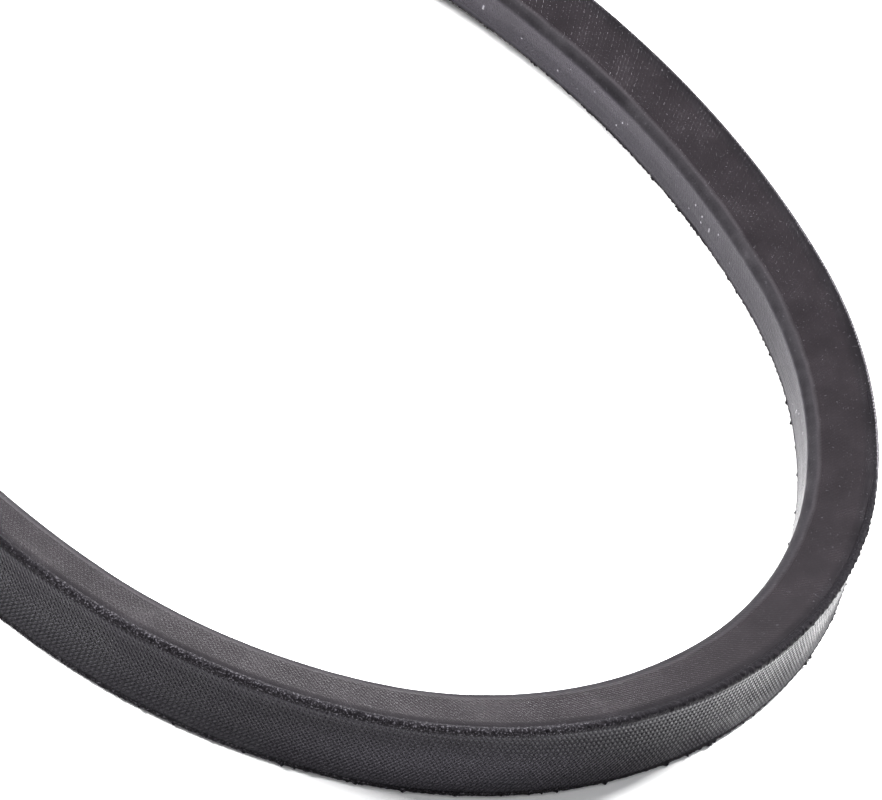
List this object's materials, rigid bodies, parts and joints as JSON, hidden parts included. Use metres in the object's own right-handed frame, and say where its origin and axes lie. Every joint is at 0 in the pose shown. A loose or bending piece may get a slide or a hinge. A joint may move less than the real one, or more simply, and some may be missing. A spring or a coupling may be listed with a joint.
{
  "type": "v belt",
  "caption": "Wrapped V belt: an endless fabric-covered rubber loop of trapezium section, wide face outwards, that drives grooved pulleys by its slanting flanks.",
  "frame": {"origin": "middle of the loop, halfway across the belt's width", "axes": "+X along the longer axis of the free loop, +Y along its shorter axis, +Z square to the plane that the loop lies in, which is across the belt's width"},
  "size_m": [0.1827, 0.1384, 0.0122],
  "materials": {
    "outer_cover_fabric": "satin",
    "inner_cover_fabric": "matte",
    "tension_rubber": "matte",
    "adhesion_gum": "matte",
    "polyester_cord": "matte",
    "compression_rubber": "matte"
  },
  "bodies": {
    "root": {"outer_cover_ply": "outer_cover_fabric", "inner_cover_ply": "inner_cover_fabric", "top_rubber": "tension_rubber", "upper_adhesion_rubber": "adhesion_gum", "tensile_cord": "polyester_cord", "lower_adhesion_rubber": "adhesion_gum", "base_rubber": "compression_rubber"}
  },
  "joints": []
}
